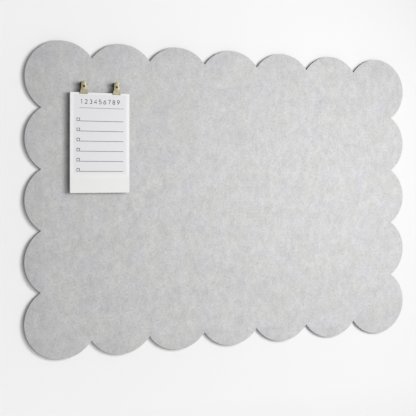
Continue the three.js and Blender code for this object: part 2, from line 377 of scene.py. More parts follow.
def arc(centre, radius, first, last, steps):
    """Points on an arc, both ends included; the angles are in radians."""
    angles = [first + (last - first) * k / steps for k in range(steps + 1)]
    return [(centre[0] + radius * math.cos(a), centre[1] + radius * math.sin(a)) for a in angles]


def circle(centre, radius, steps):
    return arc(centre, radius, 0, 2 * math.pi, steps)[:-1]


def curve_towards(start, control, end, steps):
    """Points after the start on a quadratic curve, its end included."""
    points = []
    for k in range(1, steps + 1):
        t = k / steps
        near, middle, far = (1 - t) ** 2, 2 * t * (1 - t), t * t
        points.append([near * a + middle * b + far * c for a, b, c in zip(start, control, end)])
    return points


def rounded_rectangle(centre, half_width, half_height, radius, steps):
    points = []
    for sign_u, sign_v, quarter in ((1, 1, 0), (-1, 1, 1), (-1, -1, 2), (1, -1, 3)):
        corner = (centre[0] + sign_u * (half_width - radius), centre[1] + sign_v * (half_height - radius))
        first = quarter * math.pi / 2
        points += arc(corner, radius, first, first + math.pi / 2, steps)
    return points


def lathe(bm, corners, steps, place):
    """A turned solid from (radius, along) corners that start and end on the axis."""
    rings = []
    for radius, along in corners:
        if radius == 0:
            rings.append(bm.verts.new(place(0, 0, along)))
        else:
            rings.append([bm.verts.new(place(u, v, along)) for u, v in circle((0, 0), radius, steps)])
    for near, far in zip(rings, rings[1:]):
        if isinstance(near, list) and isinstance(far, list):
            bridge(bm, near, far)
            continue
        tip, ring = (far, near) if isinstance(near, list) else (near, far)
        for ends in zip(ring, ring[1:] + ring[:1]):
            bm.faces.new((tip, *ends))


def tube(bm, path, radius, sides, taper=1.0):
    """A closed round wire along a path of points; its far end is taper times as thick."""
    across = (path[1] - path[0]).orthogonal().normalized()
    rings = []
    for i, point in enumerate(path):
        along = (path[min(i + 1, len(path) - 1)] - path[max(i - 1, 0)]).normalized()
        across = (across - along * across.dot(along)).normalized()
        other = along.cross(across)
        thick = radius * (1 + (taper - 1) * i / (len(path) - 1))
        turns = [2 * math.pi * k / sides for k in range(sides)]
        ring = [point + (across * math.cos(a) + other * math.sin(a)) * thick for a in turns]
        rings.append([bm.verts.new(place) for place in ring])
    for near, far in zip(rings, rings[1:]):
        bridge(bm, near, far)
    bm.faces.new(rings[0])
    bm.faces.new(rings[-1])


# Finishes

class Value:
    """A number that varies over a surface. Arithmetic on it adds Math nodes."""

    def __init__(self, recipe, socket):
        self.recipe = recipe
        self.socket = socket

    def math(self, operation, *terms, clamp=False):
        return self.recipe.node("Math", {"operation": operation, "use_clamp": clamp}, *terms)

    def __add__(self, other):
        return self.math("ADD", self, other)

    def __radd__(self, other):
        return self.math("ADD", other, self)

    def __sub__(self, other):
        return self.math("SUBTRACT", self, other)

    def __rsub__(self, other):
        return self.math("SUBTRACT", other, self)

    def __mul__(self, other):
        return self.math("MULTIPLY", self, other)

    def __rmul__(self, other):
        return self.math("MULTIPLY", other, self)

    def __truediv__(self, other):
        return self.math("DIVIDE", self, other)

    def __rtruediv__(self, other):
        return self.math("DIVIDE", other, self)

    def __abs__(self):
        return self.math("ABSOLUTE", self)

    def at_least(self, other):
        return self.math("MAXIMUM", self, other)

    def at_most(self, other):
        return self.math("MINIMUM", self, other)

    def above(self, edge, softness):
        """0 below the edge and 1 above it, with a soft step between."""
        return self.math("MULTIPLY_ADD", self, 1 / softness, 0.5 - edge / softness, clamp=True)


class Recipe:
    """The nodes of one material, or of the sky."""

    def __init__(self, owner):
        owner.use_nodes = True
        self.tree = owner.node_tree

    def node(self, kind, settings, *inputs, output=0, **named):
        """A node of a kind, its settings first and then the values or links of its sockets."""
        made = self.tree.nodes.new("ShaderNode" + kind)
        for key, value in settings.items():
            setattr(made, key, value)
        for key, value in [*enumerate(inputs), *named.items()]:
            where = key if isinstance(key, int) else key.replace("_", " ")
            self.feed(made.inputs[where], value)
        return Value(self, made.outputs[output])

    def feed(self, socket, value):
        if isinstance(value, Value):
            self.tree.links.new(value.socket, socket)
        elif hasattr(socket.default_value, "__len__") and len(value) < len(socket.default_value):
            socket.default_value = (*value, 1.0)
        else:
            socket.default_value = value


class Finish(Recipe):
    """A material whose nodes shape its colour, roughness and relief."""

    # A Mix node's colour sockets share their names with others, so they go by number
    MIX_FACTOR, MIX_FIRST, MIX_SECOND, MIX_RESULT = 0, 6, 7, 2

    def __init__(self, name, roughness, metallic=0.0):
        self.material = bpy.data.materials.new(name)
        super().__init__(self.material)
        self.shader = self.tree.nodes["Principled BSDF"]
        self.set("Roughness", roughness)
        self.set("Metallic", metallic)
        self.coordinates = self.node("TexCoord", {}, output="Object")

    def set(self, socket, value):
        self.feed(self.shader.inputs[socket], value)

    def axis(self, letter):
        """How far a point lies along X, Y or Z, in metres."""
        return self.node("SeparateXYZ", {}, self.coordinates, output=letter)

    def noise(self, size, detail=3.0, roughness=0.55, stretch=(1, 1, 1), turn=(0, 0, 0)):
        """Cloudy noise whose features are about as large as the given size, in metres."""
        settings = {"vector_type": "TEXTURE"}
        place = self.node("Mapping", settings, self.coordinates, Rotation=turn, Scale=stretch)
        return self.node("TexNoise", {}, Vector=place, Scale=1 / size, Detail=detail, Roughness=roughness)

    def mix(self, factor, first, second):
        """A colour between two colours."""
        made = self.tree.nodes.new("ShaderNodeMix")
        made.data_type = "RGBA"
        self.feed(made.inputs[self.MIX_FACTOR], factor)
        self.feed(made.inputs[self.MIX_FIRST], first)
        self.feed(made.inputs[self.MIX_SECOND], second)
        return Value(self, made.outputs[self.MIX_RESULT])

    def relief(self, height, depth):
        """Raises the surface by up to the given depth where height is 1."""
        self.set("Normal", self.node("Bump", {}, Height=height, Distance=depth, Strength=1.0))


def grey(level):
    return (level, level, level)


def heathered_felt():
    """Pressed polyester felt: pale and dark fibres matted together, with faint cool and warm drifts."""
    felt = Finish("heathered_felt", roughness=0.95)
    felt.set("Sheen Weight", 0.1)
    felt.set("Sheen Roughness", 0.5)
    felt.set("Specular IOR Level", 0.15)
    clouds = felt.noise(34 * MM, detail=2)
    blotches = felt.noise(12 * MM, detail=3, roughness=0.6, stretch=(1, 1, 1.4))
    flecks = felt.noise(4.2 * MM, detail=3, roughness=0.7)
    streaks = [
        felt.noise(0.35 * MM, detail=2, stretch=(9, 1, 1), turn=(0, math.radians(angle), 0))
        for angle in (12, 71, 128)
    ]
    matted = sum(streaks) / len(streaks)
    tone = clouds * 0.15 + blotches * 0.38 + flecks * 0.47
    shade = tone.above(0.5, 0.35)
    drift = felt.noise(40 * MM, detail=2).above(0.56, 0.35)
    dark = felt.mix(drift, (0.386, 0.384, 0.380), (0.382, 0.380, 0.398))
    pale = felt.mix(drift, (0.593, 0.590, 0.583), (0.585, 0.583, 0.608))
    dark_knots = 1 - flecks.above(0.37, 0.14)
    matt = felt.mix(shade, dark, pale)
    knotted = felt.mix(dark_knots * 0.4, matt, grey(0.28))
    strands = matted.above(0.5, 0.30)
    face = felt.mix(0.18, knotted, felt.mix(strands, grey(0.30), grey(0.72)))
    # The eased brow of the edge is painted pale, a painted highlight, and the cut edge below it a little
    # darker, partly for its open fibre ends and partly as painted shade
    normal = felt.node("NewGeometry", {}, output="Normal")
    facing_front = abs(felt.node("SeparateXYZ", {}, normal, output="Y"))
    cut_edge = 1 - facing_front.above(0.5, 0.4)
    brow = (1 - facing_front.above(0.95, 0.05)) * (1 - cut_edge)
    brow_painted_highlight = felt.mix(brow * 0.5, face, grey(0.82))
    felt.set("Base Color", felt.mix(cut_edge * 0.03, brow_painted_highlight, felt.mix(strands, grey(0.16), grey(0.30))))
    felt.relief(matted * 0.6 + flecks * 0.4, 0.4 * MM)
    return felt.material


def list_paper(name):
    """Smooth uncoated paper with a faint cloudy formation; returns the finish and its white."""
    paper = Finish(name, roughness=0.8)
    paper.set("Specular IOR Level", 0.25)
    paper.relief(paper.noise(0.5 * MM, detail=3), 0.03 * MM)
    cloud = paper.noise(4 * MM, detail=3)
    return paper, paper.mix(cloud * 0.5, (0.780, 0.778, 0.775), (0.750, 0.748, 0.747))


def sheet_paper():
    paper, white = list_paper("sheet_paper")
    paper.set("Base Color", white)
    return paper.material


def tinted_paper():
    """The top sheet: cool behind the rules, paler at its sides and top, and warmer below."""
    paper, white = list_paper("tinted_paper")
    side_border, top_border = 7 * MM, 3 * MM
    tint_end, warm_start = PAD_TOP - 170 * MM, PAD_TOP - 172 * MM
    from_middle = abs(paper.axis("X") - PAD_CENTRE_X)
    height = paper.axis("Z")
    across = 1 - from_middle.above(PAD_HALF_WIDTH - side_border, 5 * MM)
    low = height.above(tint_end, 8 * MM)
    high = 1 - height.above(PAD_TOP - top_border, 5 * MM)
    cool = paper.mix(across * low * high, white, (0.690, 0.688, 0.706))
    warm = 1 - height.above(warm_start, 20 * MM)
    paper.set("Base Color", paper.mix(warm * 0.8, cool, (0.722, 0.718, 0.698)))
    return paper.material


def printing_ink():
    """Thin grey printing, a little broken by the paper's tooth."""
    ink = Finish("printing_ink", roughness=0.7)
    tooth = ink.noise(0.4 * MM, detail=3)
    ink.set("Base Color", ink.mix(tooth, grey(0.04), grey(0.10)))
    return ink.material


def shade_near_holes(brass):
    """1 near the line through each clip's holes, where the brass gets painted shade, and 0 elsewhere."""
    near = []
    for side in SIDES:
        across = (brass.axis("X") - clip_middle(side).x) / HOLE_SHADE_RADIUS
        up = (brass.axis("Z") - CLIP_FOOT_Z - HOLE_HEIGHT) / HOLE_SHADE_RADIUS
        near.append(1 - (across * across + up * up).above(0.8, 0.4))
    return sum(near)


def pale_brass():
    """Pale brass plate: bright and lightly scratched, with painted shade, dark and rougher, inside the
    clip and round its holes.
    """
    brass = Finish("pale_brass", roughness=0.25, metallic=1.0)
    patches = brass.noise(4 * MM, detail=3)
    scratches = brass.noise(0.25 * MM, detail=2, stretch=(14, 1, 1), turn=(0, math.radians(35), 0))
    worn = (patches * 0.8 + scratches * 0.2).above(0.5, 0.35)
    from_middle = abs(brass.axis("Y") - clip_middle("left").y)
    above_bend = brass.axis("Z") - (CLIP_FOOT_Z + BEND_HEIGHT)
    leaning = above_bend.at_least(0.0) * math.tan(HANDLE_LEAN)
    inside = (leaning + jaw_offset() - from_middle).above(0.12 * MM, 0.1 * MM)
    polished = brass.mix(worn, (0.98, 0.91, 0.62), (0.72, 0.65, 0.42))
    # The dark colour inside the clip and round its holes is painted shade
    painted_shade_colour = brass.mix(patches, (0.05, 0.043, 0.033), (0.09, 0.078, 0.058))
    painted_shade_mask = inside.at_least(shade_near_holes(brass) * 0.9)
    brass.set("Base Color", brass.mix(painted_shade_mask, polished, painted_shade_colour))
    brass.set("Roughness", 0.16 + worn * 0.14 + painted_shade_mask * 0.25)
    brass.relief(scratches, 0.02 * MM)
    return brass.material


def bright_steel():
    """Drawn steel with a fine grain."""
    steel = Finish("bright_steel", roughness=0.25, metallic=1.0)
    grain = steel.noise(0.2 * MM, detail=2)
    steel.set("Base Color", steel.mix(grain, (0.62, 0.62, 0.63), (0.50, 0.50, 0.52)))
    steel.set("Roughness", 0.2 + grain * 0.2)
    return steel.material


def grey_card():
    """Recycled grey board with dark flecks."""
    card = Finish("grey_card", roughness=0.9)
    fleck = card.noise(0.8 * MM, detail=3).above(0.56, 0.1)
    pulp = card.noise(6 * MM, detail=3)
    board = card.mix(pulp, (0.40, 0.36, 0.31), (0.48, 0.44, 0.38))
    card.set("Base Color", card.mix(fleck * 0.5, board, (0.25, 0.22, 0.19)))
    card.relief(card.noise(0.6 * MM, detail=3), 0.08 * MM)
    return card.material


def dried_glue():
    """The rubbery white glue that binds the sheets."""
    glue = Finish("dried_glue", roughness=0.45)
    lumps = glue.noise(2 * MM, detail=2)
    glue.set("Base Color", glue.mix(lumps, (0.80, 0.80, 0.77), (0.72, 0.72, 0.68)))
    glue.relief(lumps, 0.1 * MM)
    return glue.material


def woven_tape(name, tooth, depth):
    """White nylon tape with rows of small hooks or brushed loops."""
    tape = Finish(name, roughness=0.85)
    pile = tape.noise(tooth, detail=3)
    tape.set("Base Color", tape.mix(pile, (0.74, 0.74, 0.72), (0.60, 0.60, 0.58)))
    tape.relief(pile, depth)
    return tape.material


# The felt board

def scallop_ring(radius):
    """Points on the scalloped outline that discs of this radius give, anticlockwise."""
    corner_x = (SCALLOPS_ACROSS - 1) / 2 * SCALLOP_PITCH
    corner_z = (SCALLOPS_DOWN - 1) / 2 * SCALLOP_PITCH
    notch = math.asin(SCALLOP_PITCH / 2 / radius)
    # Each side: its scallops, its first disc, the way along it and its outward angle in degrees
    sides = [
        (SCALLOPS_ACROSS, (corner_x, corner_z), (-1, 0), 90),
        (SCALLOPS_DOWN, (-corner_x, corner_z), (0, -1), 180),
        (SCALLOPS_ACROSS, (-corner_x, -corner_z), (1, 0), 270),
        (SCALLOPS_DOWN, (corner_x, -corner_z), (0, 1), 360),
    ]
    ring = []
    for count, corner, direction, degrees in sides:
        outward = math.radians(degrees)
        for i in range(count - 1):
            disc = [place + step * SCALLOP_PITCH * i for place, step in zip(corner, direction)]
            at_corner = i == 0
            first = outward - notch - (math.pi / 2 if at_corner else 0)
            steps = SCALLOP_STEPS * 2 if at_corner else SCALLOP_STEPS
            ring += arc(disc, radius, first, outward + notch, steps)[:-1]
    return ring


def rim_rows():
    """The cut edge from front to back, as (inset, depth) of each row of points."""
    thickness = FELT_BACK - FELT_FRONT
    steps = 3
    turns = [math.pi / 2 * k / steps for k in range(steps + 1)]
    front = [(EDGE_EASE * (1 - math.sin(a)), EDGE_EASE * (1 - math.cos(a))) for a in turns]
    back = [(inset, thickness - depth) for inset, depth in reversed(front)]
    upright = thickness - 2 * EDGE_EASE
    row_shares = (0.17, 0.34, 0.5, 0.66, 0.83)
    side = [(0.0, EDGE_EASE + upright * share) for share in row_shares]
    return front + side + back


def needle_hole(bm, side):
    """The blind hole that a needle has pushed into the felt; returns its mouth."""
    low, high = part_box("push_pin_" + side)
    x, _, z = box_middle(low, high)
    end = high[1] + SEAT_GAP
    outline = circle((x, z), NEEDLE_HOLE_RADIUS, steps=16)
    mouth = [bm.verts.new(facing(u, v, FELT_FRONT)) for u, v in outline]
    bottom = [bm.verts.new(facing(u, v, end)) for u, v in outline]
    bridge(bm, mouth, bottom)
    bm.faces.new(bottom)
    return mouth


def frayed(place):
    """A place on the cut edge, shifted by a coarse and a fine raggedness, mostly inwards."""
    grain = place / FRAY_GRAIN
    ragged = noise.noise(grain) + 0.5 * noise.noise(grain * 2.7)
    outward = Vector((place.x, 0, place.z)).normalized()
    return place + outward * (ragged - 1) * EDGE_FRAY


def felt_board(finish):
    """The scalloped panel, with a slightly ragged cut edge and two blind needle holes."""
    bm = bmesh.new()
    rings = []
    for inset, depth in rim_rows():
        outline = scallop_ring(SCALLOP_RADIUS - inset)
        rings.append([bm.verts.new(frayed(Vector((x, FELT_FRONT + depth, z)))) for x, z in outline])
    for ring, following in zip(rings, rings[1:]):
        bridge(bm, ring, following)
    holes = [needle_hole(bm, side) for side in SIDES]
    fill_flat(bm, [rings[0], *holes])
    fill_flat(bm, [rings[-1]])
    settle(piece_from_bmesh("felt_board", bm, finish, smooth=50), "board", "felt", "felt_panel")


def rim_fibres(finish):
    """Stray fibres that stand out of the cut edge of the felt."""
    pick = random.Random(41)
    bm = bmesh.new()
    ring = scallop_ring(SCALLOP_RADIUS - EDGE_FRAY)
    for _ in range(FIBRE_COUNT):
        i = pick.randrange(len(ring))
        (x, z), (next_x, next_z) = ring[i], ring[(i + 1) % len(ring)]
        along = Vector((next_x - x, 0, next_z - z)).normalized()
        out = Vector((along.z, 0, -along.x))
        depth = pick.uniform(FIBRE_MARGIN, FELT_BACK - FELT_FRONT - FIBRE_MARGIN)
        root = Vector((x, FELT_FRONT + depth, z)) - out * FIBRE_ROOT_DEPTH
        length = pick.uniform(*FIBRE_LENGTHS)
        heading = (out * pick.uniform(0.35, 1) + along * pick.uniform(-1, 1)).normalized()
        heading.y += pick.uniform(-0.5, 0.5)
        curl = Vector((pick.uniform(-1, 1), pick.uniform(-1, 1), pick.uniform(-1, 1))) * 0.6
        path = [root + (heading * t + curl * t * t) * length for t in (0, 0.25, 0.5, 0.75, 1)]
        tube(bm, path, pick.uniform(*FIBRE_RADII), sides=3, taper=0.5)
    settle(piece_from_bmesh("rim_fibres", bm, finish, smooth=80), "board", "felt")


# The list pad

def sheet_lift(x, z):
    """How far the top sheet stands forward of the stack: its free lower corners lift a little."""
    across = (x - PAD_CENTRE_X) / PAD_HALF_WIDTH
    down = max((PAD_TOP - z) / PAD_HEIGHT, 0)
    corner = RIGHT_CORNER_LIFT if across > 0 else LEFT_CORNER_LIFT
    wave = 0.5 + 0.5 * noise.noise(Vector((x, WAVE_SLICE_Y, z)) / WAVE_LENGTH)
    return corner * abs(across) ** 3 * down ** 6 + WAVE_LIFT * wave * down


def loose_sheets(finish):
    """The block of sheets, each a little off its neighbours."""
    pick = random.Random(7)
    bm = bmesh.new()
    spacing = (SHEETS_HIGH[1] - SHEETS_LOW[1] - SHEET_THICKNESS) / (SHEET_COUNT - 1)
    middle_z = PAD_TOP - PAD_HEIGHT / 2
    for i in range(SHEET_COUNT):
        front = SHEETS_LOW[1] + spacing * i
        slip = pick.gauss(0, SHEET_SLIP)
        drop = abs(pick.gauss(0, SHEET_DROP))
        centre = (PAD_CENTRE_X + slip, middle_z - drop)
        outline = rounded_rectangle(centre, PAD_HALF_WIDTH, PAD_HEIGHT / 2, PAD_CORNER, steps=4)
        prism(bm, [outline], front, front + SHEET_THICKNESS, facing)
    settle(piece_from_bmesh("loose_sheets", bm, finish), "hung_list", "paper", "pad_sheets")


def sheet_rows():
    """Rows of the top sheet, from top to bottom, as (height, half width)."""
    corner_steps, body_steps = 4, 36
    turns = [math.pi / 2 * k / corner_steps for k in range(corner_steps + 1)]
    ends = [(PAD_CORNER * (1 - math.cos(a)), PAD_CORNER * (1 - math.sin(a))) for a in turns]
    rows = [(PAD_TOP - down, PAD_HALF_WIDTH - inset) for down, inset in ends]
    body = PAD_HEIGHT - 2 * PAD_CORNER
    rows += [(PAD_TOP - PAD_CORNER - body * k / body_steps, PAD_HALF_WIDTH) for k in range(1, body_steps)]
    return rows + [(PAD_TOP - PAD_HEIGHT + up, PAD_HALF_WIDTH - inset) for up, inset in reversed(ends)]


def writing_sheet(finish):
    """The top sheet, with its lower corners lifting."""
    bm = bmesh.new()
    columns = spread(24)
    flat = [[(PAD_CENTRE_X + half * across, z) for across in columns] for z, half in sheet_rows()]
    faces = []
    for y in (TOP_SHEET_LOW[1], TOP_SHEET_HIGH[1]):
        faces.append([[(x, y - sheet_lift(x, z), z) for x, z in row] for row in flat])
    plate(bm, faces)
    settle(piece_from_bmesh("writing_sheet", bm, finish, smooth=30), "hung_list", "paper", "top_sheet")


def glue_bead(finish):
    """The glue that binds the sheets, brushed along their top edges."""
    bm = bmesh.new()
    width, depth, height = (high - low for low, high in zip(GLUE_LOW, GLUE_HIGH))
    # The section is a flattened dome on upright sides, so its turns start a little way in
    steps, way_in = 6, 0.6
    turns = [math.pi * (k + way_in) / (steps + 2 * way_in) for k in range(steps + 1)]
    section = [(0, 0), (1, 0)] + [(1 - k / steps, math.sin(a) ** 0.4) for k, a in enumerate(turns)]
    stations = spread(90)
    rings = []
    for along in stations:
        x = PAD_CENTRE_X + width / 2 * along
        points = []
        for across, up in section:
            lump = noise.noise(Vector((x, across * depth, 0)) / GLUE_LUMP_SIZE)
            top = height * up * (1 - GLUE_LUMP_SHARE + GLUE_LUMP_SHARE * lump)
            points.append(bm.verts.new((x, GLUE_LOW[1] + depth * across, GLUE_LOW[2] + top)))
        rings.append(points)
    for near, far in zip(rings, rings[1:]):
        bridge(bm, near, far)
    bm.faces.new(rings[0])
    bm.faces.new(rings[-1])
    bead = piece_from_bmesh("glue_bead", bm, finish, smooth=50)
    settle(bead, "hung_list", "binding_glue", "binding_edge")


def ink_line(bm, points, width, closed=False):
    """A printed line of a given width along points on the top sheet."""
    count = len(points)
    rings = []
    for i, (x, z) in enumerate(points):
        before = points[i - 1] if closed or i > 0 else points[i]
        after = points[(i + 1) % count] if closed or i < count - 1 else points[i]
        into, out_of = Vector((x - before[0], z - before[1])), Vector((after[0] - x, after[1] - z))
        into, out_of = (v.normalized() if v.length else None for v in (into, out_of))
        along = ((into or out_of) + (out_of or into)).normalized()
        # A sharp corner's mitre is at most twice as wide as the line
        mitre = 1 / max(abs(along.dot(out_of or into)), 0.5)
        side = Vector((-along.y, along.x)) * width / 2 * mitre
        ring = []
        for sign, lift in ((-1, 0), (1, 0), (1, INK_THICKNESS), (-1, INK_THICKNESS)):
            place_x, place_z = x + side.x * sign, z + side.y * sign
            y = TOP_SHEET_LOW[1] - sheet_lift(place_x, place_z) - lift
            ring.append(bm.verts.new((place_x, y, place_z)))
        rings.append(ring)
    pairs = zip(rings, rings[1:] + rings[:1]) if closed else zip(rings, rings[1:])
    for near, far in pairs:
        bridge(bm, near, far)
    if not closed:
        bm.faces.new(rings[0])
        bm.faces.new(rings[-1])


def numeral_strokes():
    """Plain numerals from 1 to 9 as strokes in a cell one unit high."""
    turn = math.pi
    return [
        [[(-0.14, 0.80), (0.06, 1.0), (0.06, 0.0)]],
        [arc((0, 0.72), 0.28, turn * 0.92, -turn * 0.15, 10) + [(-0.28, 0.0), (0.32, 0.0)]],
        [
            arc((0, 0.75), 0.25, turn * 0.85, -turn * 0.5, 10),
            arc((0, 0.26), 0.26, turn * 0.5, -turn * 0.85, 10),
        ],
        [[(0.16, 0.0), (0.16, 1.0), (-0.30, 0.30), (0.32, 0.30)]],
        [[(0.26, 1.0), (-0.18, 1.0), (-0.22, 0.56)] + arc((0, 0.31), 0.31, turn * 0.62, -turn * 0.82, 12)],
        [[(0.20, 1.0), (-0.18, 0.52)] + arc((0, 0.29), 0.29, turn * 0.80, -turn * 1.20, 16)],
        [[(-0.28, 1.0), (0.30, 1.0), (-0.08, 0.0)]],
        [circle((0, 0.75), 0.23, 16) + [(0.23, 0.75)], circle((0, 0.27), 0.27, 16) + [(0.27, 0.27)]],
        [[(-0.20, 0.0), (0.18, 0.48)] + arc((0, 0.71), 0.29, -turn * 0.20, turn * 1.80, 16)],
    ]


def printed_rule(bm, down, span, width):
    """A rule across the sheet, from one end of its span to the other."""
    left, right = (PAD_CENTRE_X + across for across in span)
    places = [left + (right - left) * k / RULE_STEPS for k in range(RULE_STEPS + 1)]
    ink_line(bm, [(x, PAD_TOP - down) for x in places], width)


def check_box(bm, down):
    """The box at the left end of the rule that is this far down."""
    x, z = PAD_CENTRE_X + BOX_ACROSS, PAD_TOP - down + BOX_ABOVE_RULE
    half = BOX_HALF_SIDE
    corners = [(x - half, z - half), (x + half, z - half), (x + half, z + half), (x - half, z + half)]
    ink_line(bm, corners, BOX_STROKE, closed=True)


def printed_form(finish):
    """The printing on the top sheet: plain numerals over a rule, and six rules with their boxes."""
    bm = bmesh.new()
    left, right = (PAD_CENTRE_X + across for across in NUMERALS_SPAN)
    base = PAD_TOP - NUMERALS_DOWN
    numerals = numeral_strokes()
    for k, strokes in enumerate(numerals):
        middle = left + (right - left) * (k + 0.5) / len(numerals)
        for stroke in strokes:
            points = [(middle + u * NUMERAL_HEIGHT, base + v * NUMERAL_HEIGHT) for u, v in stroke]
            ink_line(bm, points, NUMERAL_STROKE)
    printed_rule(bm, TOP_RULE_DOWN, TOP_RULE_SPAN, TOP_RULE_STROKE)
    for k in range(RULE_COUNT):
        down = FIRST_RULE_DOWN + RULE_PITCH * k
        printed_rule(bm, down, RULE_SPAN, RULE_STROKE)
        check_box(bm, down)
    settle(piece_from_bmesh("printed_form", bm, finish), "hung_list", "paper")


# The clips

def jaw_face_edge():
    """The right edge of the jaw, from the foot up: a tapered foot, a waist and a round handle."""
    foot, shoulder = FOOT_WIDTH / 2, SHOULDER_WIDTH / 2
    waist, head = WAIST_WIDTH / 2, HANDLE_WIDTH / 2
    head_middle = HANDLE_TOP - head
    neck = (head * math.cos(NECK_ANGLE), head_middle - head * math.sin(NECK_ANGLE))
    neck_turn = neck[1] - (neck[0] - waist) / math.tan(NECK_ANGLE)
    waist_turn = (SHOULDER_HEIGHT + WAIST_HEIGHT) / 2
    right = [(foot, 0), (shoulder, SHOULDER_HEIGHT)]
    right += curve_towards(right[-1], (waist, waist_turn), (waist, WAIST_HEIGHT), steps=8)
    right += curve_towards(right[-1], (waist, neck_turn), neck, steps=6)
    return right + arc((0, head_middle), head, -NECK_ANGLE, HANDLE_ARC_END, steps=20)[1:]


def sheet_middle(height):
    """The middle of the jaw's sheet at a height: how far out it is, and how much it leans."""
    bend_start = BEND_HEIGHT - BEND_RADIUS * math.tan(HANDLE_LEAN / 2)
    bend_end = bend_start + BEND_RADIUS * math.sin(HANDLE_LEAN)
    if height <= bend_start:
        return jaw_offset(), 0.0
    if height < bend_end:
        lean = math.asin((height - bend_start) / BEND_RADIUS)
        return jaw_offset() + BEND_RADIUS * (1 - math.cos(lean)), lean
    return jaw_offset() + (height - BEND_HEIGHT) * math.tan(HANDLE_LEAN), HANDLE_LEAN


def jaw_rows():
    """Heights of the rows of the sheet, each with half the sheet's width there."""
    edge = jaw_face_edge()
    rows = []
    for (x0, z0), (x1, z1) in zip(edge, edge[1:]):
        steps = max(1, round((z1 - z0) / SHEET_ROW_SPACING))
        rows += [(z0 + (z1 - z0) * k / steps, x0 + (x1 - x0) * k / steps) for k in range(steps)]
    rows.append((edge[-1][1], edge[-1][0]))
    return [(max(z, LIP_RADIUS), x) for z, x in rows]


def jaw_sheet(out, thickness):
    """The bent sheet of a jaw, whose handle is a little crowned; out is -1 in front."""
    bm = bmesh.new()
    columns = spread(18)
    faces = []
    for face in (1, -1):
        rows = []
        for height, half in jaw_rows():
            middle, lean = sheet_middle(height)
            y = middle + face * thickness / 2 * math.cos(lean)
            z = height - face * thickness / 2 * math.sin(lean)
            # The crown starts at the shoulder and is full half way up the handle
            rise = min(max((height - SHOULDER_HEIGHT) / (HANDLE_TOP - SHOULDER_HEIGHT) * 2, 0), 1)
            row = []
            for across in columns:
                sag = HANDLE_CROWN * rise * (across * half / (HANDLE_WIDTH / 2)) ** 2
                row.append((across * half, out * (y - sag), z))
            rows.append(row)
        faces.append(rows)
    plate(bm, faces)
    return blank(bm)


def ear_outline(out):
    """A folded ear that reaches from the sheet to the hinge pin and goes round it."""
    root = out * jaw_offset()
    tip = arc((0, HINGE_HEIGHT), EAR_RADIUS, -math.pi / 2, -math.pi / 2 - out * math.pi, steps=16)
    return [(root, HINGE_HEIGHT - EAR_ROOT / 2), *tip, (root, HINGE_HEIGHT + EAR_ROOT / 2)]


def jaw_mesh(out, ear_x):
    """One pressed jaw about the clip's middle; ear_x is the outer face of its ears."""
    reach = out * (jaw_offset() + handle_reach() + CUT_OVERRUN)
    half = FOOT_WIDTH / 2
    hole = circle((0, HOLE_HEIGHT), HOLE_RADIUS, steps=28)
    rim = circle((0, HOLE_HEIGHT), HOLE_RADIUS + HOLE_RIM_WIDTH, steps=32)
    thick = jaw_sheet(out, SHEET_METAL + 2 * HOLE_RIM_HEIGHT)
    eyelet = place_object("blank", worked(thick, ("INTERSECT", solid([rim, hole], 0, reach, facing))))
    lip_circle = circle((out * jaw_offset(), LIP_RADIUS), LIP_RADIUS, steps=24)
    pin_hole = circle((0, HINGE_HEIGHT), PIN_HOLE_RADIUS, steps=20)
    steps = [
        ("DIFFERENCE", solid([hole], 0, reach, facing)),
        ("UNION", eyelet),
        ("UNION", solid([lip_circle], -half, half, edge_on)),
    ]
    for x in (-ear_x, ear_x - SHEET_METAL):
        steps.append(("UNION", solid([ear_outline(out), pin_hole], x, x + SHEET_METAL, edge_on)))
    return worked(jaw_sheet(out, SHEET_METAL), *steps)


def hinge_pin(finish, side):
    """A riveted pin with a domed head at each end."""
    inner = WAIST_WIDTH / 2 + SEAT_GAP
    rim = inner + PIN_HEAD_RIM
    rise = PIN_HEAD_HEIGHT - PIN_HEAD_RIM
    turns = (0.5, 1.0)
    dome = [(PIN_HEAD_RADIUS, inner), (PIN_HEAD_RADIUS, rim)]
    dome += [(PIN_HEAD_RADIUS * math.cos(a), rim + rise * math.sin(a)) for a in turns]
    dome += [(0, inner + PIN_HEAD_HEIGHT)]
    corners = [(r, -x) for r, x in reversed(dome)] + [(PIN_RADIUS, -inner), (PIN_RADIUS, inner)] + dome
    bm = bmesh.new()
    lathe(bm, corners, steps=32, place=edge_on)
    move(bm, clip_middle(side) + Vector((0, 0, HINGE_HEIGHT)))
    pin = piece_from_bmesh("rivet_" + side, bm, finish, smooth=35)
    settle(pin, "hung_list", "brass", "hinge_pin_" + side)


def push_pin(finish, side):
    """A disc on the back of the clip, a shank and a needle with a long point."""
    low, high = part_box("push_pin_" + side)
    x, _, z = box_middle(low, high)
    front, tip = low[1], high[1]
    back, shank_end = front + DISC_THICKNESS, FELT_FRONT - SEAT_GAP
    disc, shank, needle = (high[0] - low[0]) / 2, SHANK_RADIUS, NEEDLE_RADIUS
    ease = PUSH_PIN_EASE
    corners = [
        (0, front), (disc - ease, front), (disc, front + ease), (disc, back - ease), (disc - ease, back),
        (shank + 2 * ease, back), (shank, back + 2 * ease), (shank, shank_end - ease),
        (shank - ease, shank_end), (needle, shank_end), (needle, tip - NEEDLE_POINT),
        (needle * NEEDLE_TAPER_SHARE, tip - NEEDLE_POINT / 2), (0, tip),
    ]
    bm = bmesh.new()
    lathe(bm, corners, steps=32, place=facing)
    move(bm, Vector((x, 0, z)))
    pin = piece_from_bmesh("needle_pin_" + side, bm, finish, smooth=30)
    settle(pin, "hung_list", "steel", "push_pin_" + side)


